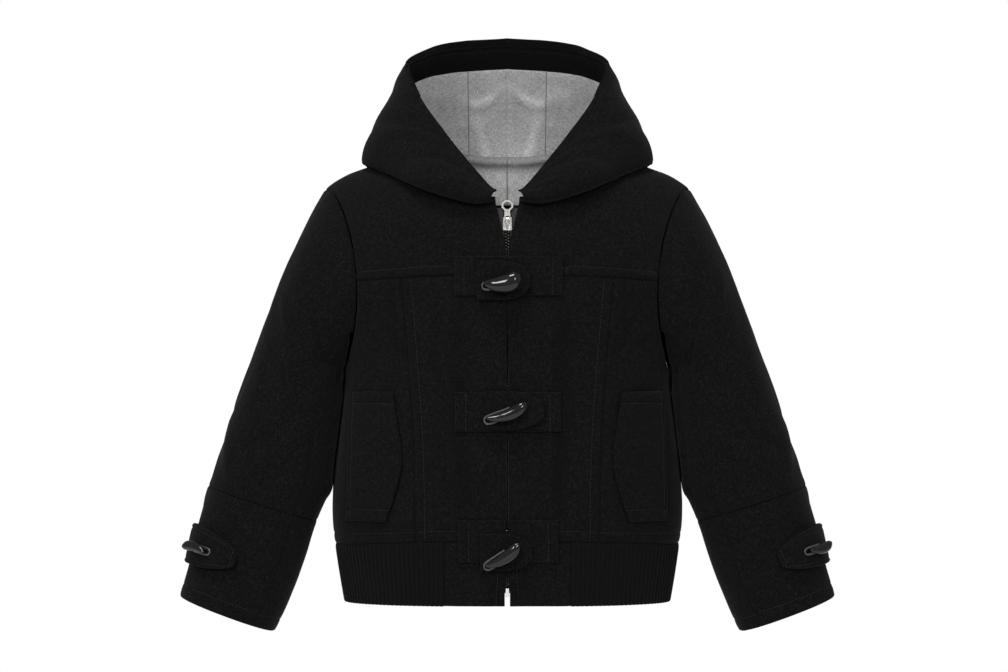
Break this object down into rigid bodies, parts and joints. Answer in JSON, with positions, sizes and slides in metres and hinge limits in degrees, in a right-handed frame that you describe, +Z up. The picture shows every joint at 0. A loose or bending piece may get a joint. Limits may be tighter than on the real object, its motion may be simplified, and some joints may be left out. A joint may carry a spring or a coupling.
{
  "type": "hooded bomber jacket",
  "caption": "Child's hooded bomber jacket of black napped wool with a front zip, horn toggles on tabs, patch pockets, cuff straps, a ribbed hem and an open grey-lined hood.",
  "frame": {"origin": "on the middle plane between the tops of the shoulders, where the wearer holds the jacket up", "axes": "+Z up, the front faces -Y, +X to the wearer's left"},
  "size_m": [0.598, 0.2245, 0.5438],
  "materials": {
    "napped_wool": "matte napped",
    "rib_knit": "matte ribbed knit",
    "grey_lining": "heathered weave",
    "black_horn": "polished",
    "black_cord": "waxed cord",
    "zip_tape": "woven tape",
    "nickel": "satin nickel"
  },
  "bodies": {
    "jacket": {"front_centre_right": "napped_wool", "front_side_right": "napped_wool", "front_yoke_right": "napped_wool", "front_centre_left": "napped_wool", "front_side_left": "napped_wool", "front_yoke_left": "napped_wool", "back": "napped_wool", "back_yoke": "napped_wool", "hem_block_right": "napped_wool", "hem_block_left": "napped_wool", "rib_hem": "rib_knit", "sleeve_upper_outer_right": "napped_wool", "sleeve_upper_under_right": "napped_wool", "sleeve_lower_outer_right": "napped_wool", "sleeve_lower_under_right": "napped_wool", "sleeve_upper_outer_left": "napped_wool", "sleeve_upper_under_left": "napped_wool", "sleeve_lower_outer_left": "napped_wool", "sleeve_lower_under_left": "napped_wool", "hood_side_right": "napped_wool", "hood_side_left": "napped_wool", "hood_centre": "napped_wool", "hood_facing": "napped_wool", "hood_lining_side_right": "grey_lining", "hood_lining_strip_right": "grey_lining", "neck_lining_right": "grey_lining", "hood_lining_side_left": "grey_lining", "hood_lining_strip_left": "grey_lining", "neck_lining_left": "grey_lining", "pocket_right": "napped_wool", "pocket_left": "napped_wool", "tab_patch_top_right": "napped_wool", "tab_patch_top_left": "napped_wool", "tab_top": "napped_wool", "tab_patch_middle_right": "napped_wool", "tab_patch_middle_left": "napped_wool", "tab_middle": "napped_wool", "tab_patch_bottom_right": "napped_wool", "tab_patch_bottom_left": "napped_wool", "tab_bottom": "napped_wool", "cuff_strap_right": "napped_wool", "cuff_strap_left": "napped_wool", "toggle_top": "black_horn", "cord_loop_top": "black_cord", "toggle_middle": "black_horn", "cord_loop_middle": "black_cord", "toggle_bottom": "black_horn", "cord_loop_bottom": "black_cord", "toggle_cuff_right": "black_horn", "cord_loop_cuff_right": "black_cord", "toggle_cuff_left": "black_horn", "cord_loop_cuff_left": "black_cord", "zip_tape_right": "zip_tape", "zip_tape_left": "zip_tape", "zip_chain": "nickel", "zip_slider": "nickel", "zip_bottom_stop": "nickel"},
    "pull_tab": {"zip_pull_tab": "nickel"}
  },
  "joints": [
    {"name": "pull_tab_hinge", "type": "hinge", "parent": "jacket", "child": "pull_tab", "pos_m": [0, -0.0788, -0.04905], "axis": [1, 0, 0], "range_deg": [0, 140]}
  ]
}
